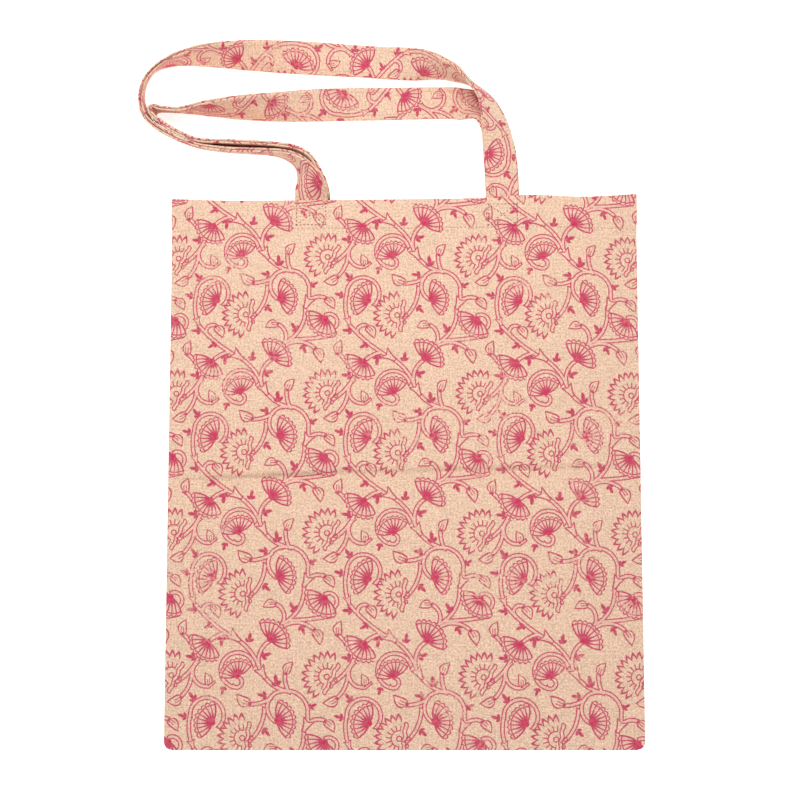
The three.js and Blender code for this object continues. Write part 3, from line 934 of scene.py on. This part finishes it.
def make_handle(name, handle, run, strip, opened, material):
    """A handle: a band of two sewn layers swept along its route, printed on both faces."""
    opening_run = 20
    closing_run = 40
    centre, across, face, even = handle_rings(handle, run)
    section = handle_outline(handle, handle.slit_closed)
    gape = handle_outline(handle, handle.slit_width) - section
    start, end = opened
    opening = smooth_step(start, start + opening_run, even / MM)
    closing = smooth_step(end, end - closing_run, even / MM)
    sections = section[None] + gape[None] * (opening * closing)[:, None, None]
    sides = len(section)
    rings = len(centre)
    points = centre[:, None] + across[:, None] * sections[:, :, :1] + face[:, None] * sections[:, :, 1:]
    points = np.concatenate((points.reshape(-1, 3), np.ones((rings * sides, 1))), axis=1)

    # The steps from a quad's first corner to its four corners, along the band and around it.
    steps_along = (0, 0, 1, 1)
    steps_around = (0, 1, 1, 0)
    ring, side = np.meshgrid(np.arange(rings - 1), np.arange(sides), indexing="ij")
    quads = [(ring + a) * sides + (side + b) % sides for a, b in zip(steps_along, steps_around)]
    quads = np.stack(quads, axis=-1).reshape(-1, 4)
    caps = [list(range(sides))[::-1], list(range((rings - 1) * sides, rings * sides))]

    # Each layer is its own strip of cloth, laid out by how far its outline runs from its middle.
    run_across = length_along(section[:sides // 2 + 1])
    run_across = run_across - run_across[-1] / 2
    first = side % (sides // 2)
    right = np.stack([run_across[first + b] for b in steps_around], axis=-1)
    right = right * strip["way"] + np.where(first == side, strip["upper"], strip["lower"])[..., None] * MM
    up = np.stack([even[ring + a] for a in steps_along], axis=-1)
    flat = np.stack((right, strip["start"] * MM + strip["way"] * strip["stretch"] * up), axis=-1)
    cap_flat = np.tile((strip["upper"], strip["start"]), (2 * sides, 1)) * MM + np.tile(section, (2, 1))

    # On the baked picture the unrolled band lies in three rows, with its two ends in a corner.
    baked_rows = 3
    margin = 0.02
    around = length_along(np.concatenate((section, section[:1])))
    around = around / around[-1]
    per_row = -(-(rings - 1) // baked_rows)
    row = ring // per_row
    step = ring % per_row
    wide = np.stack([step + a for a in steps_along], axis=-1) / per_row
    tall = np.stack([around[side + b] for b in steps_around], axis=-1)
    baked = np.stack((margin + 0.97 * wide, (row[..., None] + margin + 0.96 * tall) / baked_rows), axis=-1)
    cap_baked = 0.005 + np.tile(section, (2, 1)) / handle.width * 0.006
    maps = {CLOTH_MAP: [flat.reshape(-1, 2), cap_flat], BAKE_MAP: [baked.reshape(-1, 2), cap_baked]}
    return make_piece(name, points, quads.tolist() + caps, material, maps)


def stitch_tree():
    """Geometry nodes that lay a short bar of thread along a line at every step."""
    tree = bpy.data.node_groups.new("Lay stitches", "GeometryNodeTree")
    inputs = (
        ("Lines", "Geometry"), ("Step", "Float"), ("Stitch length", "Float"), ("Thread", "Float"),
        ("Thread material", "Material"),
    )
    for name, kind in inputs:
        tree.interface.new_socket(name, in_out="INPUT", socket_type="NodeSocket" + kind)
    tree.interface.new_socket("Stitches", in_out="OUTPUT", socket_type="NodeSocketGeometry")
    put = partial(add_node, tree)
    given = tree.nodes.new("NodeGroupInput").outputs
    curve = put("GeometryNodeMeshToCurve", given["Lines"])
    points = tree.nodes.new("GeometryNodeResampleCurve")
    points.mode = "LENGTH"
    tree.links.new(curve, points.inputs["Curve"])
    tree.links.new(given["Step"], points.inputs["Length"])
    # A stitch is a ball of six sides and four rings, drawn out along the line.
    bar = put("GeometryNodeMeshUVSphere", 6, 4, 0.5)
    tangent = tree.nodes.new("GeometryNodeInputTangent").outputs[0]
    turn = put("FunctionNodeAlignRotationToVector", None, 1.0, tangent, axis="Z")
    size = put(JOIN, given["Thread"], given["Thread"], given["Stitch length"])
    laid = put("GeometryNodeInstanceOnPoints", points.outputs[0], True, bar, False, None, turn, size)
    real = put("GeometryNodeRealizeInstances", laid)
    threaded = tree.nodes.new("GeometryNodeSetMaterial")
    tree.links.new(real, threaded.inputs["Geometry"])
    tree.links.new(given["Thread material"], threaded.inputs["Material"])
    result = tree.nodes.new("NodeGroupOutput")
    tree.links.new(threaded.outputs[0], result.inputs[0])
    return tree


def sew(name, handle, lines, thread):
    """Stitches along lines of points, as one plain mesh."""
    mesh = bpy.data.meshes.new(name + "_lines")
    edges = []
    start = 0
    for line in lines:
        edges += [(start + i, start + i + 1) for i in range(len(line) - 1)]
        start += len(line)
    mesh.from_pydata(np.concatenate(lines).tolist(), edges, [])
    piece = bpy.data.objects.new(name, mesh)
    bpy.context.collection.objects.link(piece)
    tree = bpy.data.node_groups.get("Lay stitches") or stitch_tree()
    layer = piece.modifiers.new("Stitches", "NODES")
    layer.node_group = tree
    given = {
        "Step": handle.stitch_step, "Stitch length": handle.stitch_length, "Thread": handle.thread,
        "Thread material": thread,
    }
    for socket in tree.interface.items_tree:
        if socket.name in given:
            layer[socket.identifier] = given[socket.name]
    ready = piece.evaluated_get(bpy.context.evaluated_depsgraph_get())
    sewn = bpy.data.meshes.new_from_object(ready)
    piece.modifiers.remove(layer)
    piece.data = sewn
    sewn.shade_smooth()
    bpy.data.meshes.remove(mesh)
    return piece


def on_sheet(body, sheet, mouth_line, corners, outside_up):
    """A line of points on a panel's outside, through corners given as x and y of the bag."""
    point_step = 1.5 * MM
    over_upper_side = 0.05 * MM
    over_floor = 0.2 * MM
    corners = np.array(corners, float) * MM
    far = length_along(corners)
    even = np.linspace(0, far[-1], max(int(far[-1] / point_step), 2))
    x, y = (np.interp(even, far, corners[:, i]) for i in range(2))
    mouth = mouth_line(body, x) - body.wall
    up = (y - body.wall / 2) / (mouth - body.wall / 2)
    across = x / (half_width_at(body, up * body.left_height) - body.wall / 2)
    x, y, low, high = sheet(body, across, up)
    height = high + over_upper_side if outside_up else low + over_floor
    return np.stack((x + BAG_X, y + BAG_Y, height), axis=1)


def sew_box(left, right, low, high):
    """A box of stitches crossed by its diagonals, as runs of corners."""
    round_the_box = ((left, low), (right, low), (right, high), (left, high), (left, low))
    return (round_the_box, ((left, low), (right, high)), ((left, high), (right, low)))


class TOTE_OT_front(bpy.types.Operator):
    """Makes the printed front, full over the back and creased where it was folded"""

    bl_idname = "tote.make_front"
    bl_label = "Make front"

    def execute(self, context):
        body = context.scene.tote_body
        cotton = printed_cotton(context.scene.tote_look)
        piece = make_panel("front_cloth", body, front_sheet, front_print, True, cotton)
        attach(piece, "root")
        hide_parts("front_panel")
        return {"FINISHED"}


class TOTE_OT_back(bpy.types.Operator):
    """Makes the back, which lies flat on the floor with its print down"""

    bl_idname = "tote.make_back"
    bl_label = "Make back"

    def execute(self, context):
        body = context.scene.tote_body
        cotton = printed_cotton(context.scene.tote_look)
        piece = make_panel("back_cloth", body, back_sheet, back_print, False, cotton)
        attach(piece, "root")
        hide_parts("back_panel")
        return {"FINISHED"}


class TOTE_OT_handles(bpy.types.Operator):
    """Makes the two handles, sewn bands that lie looped to the left over the mouth"""

    bl_idname = "tote.make_handles"
    bl_label = "Make handles"

    def execute(self, context):
        handle = context.scene.tote_handle
        cotton = printed_cotton(context.scene.tote_look)
        # Each handle: its piece, its node, its route and strip, where its layers open and close again along
        # it (mm), and its flat length (m).
        runs = (
            ("front_handle", "front_strap", FRONT_RUN, FRONT_STRIP, (150, 300), 0.617),
            ("back_handle", "back_strap", BACK_RUN, BACK_STRIP, (0, 0), 0.565),
        )
        for name, node, run, strip, opened, long in runs:
            piece = make_handle(name, handle, run, strip, opened, cotton)
            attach(piece, "root")
            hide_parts(node)
        return {"FINISHED"}


class TOTE_OT_stitches(bpy.types.Operator):
    """Sews the hems, the crossed boxes that hold the handles, and the handles' edges"""

    bl_idname = "tote.sew_stitches"
    bl_label = "Sew stitches"

    def execute(self, context):
        body = context.scene.tote_body
        handle = context.scene.tote_handle
        look = context.scene.tote_look
        # Both threads hold painted shade of their needle holes in their colour.
        undyed_and_hole_shade = sewing_thread("Undyed thread with painted hole shade", look.hem_thread_and_hole_shade)
        box_thread_shaded = sewing_thread("Box thread with painted hole shade", look.box_thread_and_hole_shade)
        hem_end = 183
        hem_slope = 1
        box_half_width = 11.5
        box_top = 424
        # Each side: its name, sheet and mouth, its hem's height, its boxes' bottom and places across (mm),
        # and whether its outside is up.
        sides = (
            ("front", front_sheet, front_mouth, 404.7, 407, (-74, 78), True),
            ("back", back_sheet, back_mouth, 411.0, 413, (-72.4, 79), False),
        )
        for name, sheet, mouth, hem, box_bottom, bases, outside_up in sides:
            hem_runs = [((-hem_end, hem - hem_slope), (hem_end, hem + hem_slope))]
            box_runs = []
            for base in bases:
                box_runs += sew_box(base - box_half_width, base + box_half_width, box_bottom, box_top)
            for kind, runs, thread in (("hem", hem_runs, undyed_and_hole_shade), ("box", box_runs, box_thread_shaded)):
                lines = [on_sheet(body, sheet, mouth, run, outside_up) for run in runs]
                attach(sew(name + "_" + kind + "_stitches", handle, lines, thread), "root")
        lines = []
        # Along the handles the stitches lie just outside the roots of the slits.
        from_middle = handle.width / 2 - handle.slit_depth + 0.4 * MM
        for run in (FRONT_RUN, BACK_RUN):
            centre, across, face, _ = handle_rings(handle, run)
            for edge in (-1, 1):
                for out in (-1, 1):
                    offset = across * edge * from_middle + face * out * handle.thickness / 2
                    lines.append(centre + offset)
        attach(sew("handle_stitches", handle, lines, undyed_and_hole_shade), "root")
        return {"FINISHED"}


class TOTE_OT_stage(bpy.types.Operator):
    """Sets the white floor, the soft light and the camera over the bag"""

    bl_idname = "tote.set_stage"
    bl_label = "Set stage"

    def execute(self, context):
        scene = context.scene
        stage = scene.tote_stage
        aim = Vector((BAG_X + stage.aim_x, BAG_Y + stage.aim_y, 0))

        # White acrylic lit from below: it stays white around the bag and swallows its shadow.
        card = bpy.data.materials.new("Backlit white acrylic")
        card.use_nodes = True
        white = (1, 1, 1, 1)
        paper = card.node_tree.nodes["Principled BSDF"]
        fill(paper, {"Base Color": (0.94, 0.94, 0.94, 1), "Roughness": 1.0, "Specular IOR Level": 0.0})
        fill(paper, {"Emission Color": white, "Emission Strength": stage.glow})
        mesh = bpy.data.meshes.new("floor")
        far = 3.0
        below = -0.0003
        corners = [(x * far, y * far, below) for x, y in ((-1, -1), (1, -1), (1, 1), (-1, 1))]
        mesh.from_pydata(corners, [], [(0, 1, 2, 3)])
        mesh.materials.append(card)
        floor = bpy.data.objects.new("floor", mesh)
        context.collection.objects.link(floor)

        # Lamps: name, power, width and place from the point looked at (m).
        for name, power, wide, place in (
            ("window", stage.window, 0.9, (-0.08, 0.45, 0.85)), ("fill", stage.fill, 1.6, (0.1, -1.1, 0.8)),
        ):
            light = bpy.data.lights.new(name, "AREA")
            light.shape = "RECTANGLE"
            light.size = wide
            light.size_y = 0.6 * wide
            light.energy = power
            lamp = bpy.data.objects.new(name, light)
            lamp.location = aim + Vector(place)
            lamp.rotation_euler = (aim - lamp.location).to_track_quat("-Z", "Y").to_euler()
            context.collection.objects.link(lamp)

        world = bpy.data.worlds.new("Soft studio")
        world.use_nodes = True
        sky = world.node_tree.nodes["Background"]
        fill(sky, {"Color": white, "Strength": stage.sky})
        scene.world = world
        scene.view_settings.view_transform = "Standard"

        lens = bpy.data.cameras.new("camera")
        lens.lens = stage.lens
        lens.sensor_width = 36
        lens.clip_end = 20
        camera = bpy.data.objects.new("camera", lens)
        back = Vector((0, -math.sin(stage.camera_tilt), math.cos(stage.camera_tilt)))
        camera.location = aim + back * stage.camera_distance
        camera.rotation_euler = (stage.camera_tilt, 0, 0)
        context.collection.objects.link(camera)
        scene.camera = camera
        return {"FINISHED"}


class TOTE_PT_panel(bpy.types.Panel):
    """The tote's steps and settings"""

    bl_idname = "TOTE_PT_panel"
    bl_label = "Block-printed tote"
    bl_space_type = "VIEW_3D"
    bl_region_type = "UI"
    bl_category = "Tote"

    def draw(self, context):
        for step in STEPS:
            self.layout.operator(step.bl_idname)
        for group in SETTINGS:
            box = self.layout.box()
            settings = getattr(context.scene, group)
            for name in settings.bl_rna.properties.keys():
                if name not in ("rna_type", "name"):
                    box.prop(settings, name)


STEPS = (TOTE_OT_back, TOTE_OT_front, TOTE_OT_handles, TOTE_OT_stitches, TOTE_OT_stage)
SETTINGS = {"tote_body": ToteBody, "tote_handle": ToteHandle, "tote_look": ToteLook, "tote_stage": ToteStage}


def register():
    """Adds the settings, the steps and the panel to Blender."""
    for kind in (*SETTINGS.values(), *STEPS, TOTE_PT_panel):
        bpy.utils.register_class(kind)
    for name, kind in SETTINGS.items():
        setattr(bpy.types.Scene, name, bpy.props.PointerProperty(type=kind))


def unregister():
    """Takes them out again."""
    for name in SETTINGS:
        delattr(bpy.types.Scene, name)
    for kind in (TOTE_PT_panel, *STEPS, *SETTINGS.values()):
        bpy.utils.unregister_class(kind)


def main():
    """Makes the whole bag and its stage."""
    register()
    bpy.ops.tote.make_back()
    bpy.ops.tote.make_front()
    bpy.ops.tote.make_handles()
    bpy.ops.tote.sew_stitches()
    bpy.ops.tote.set_stage()


if __name__ == "__main__":
    main()
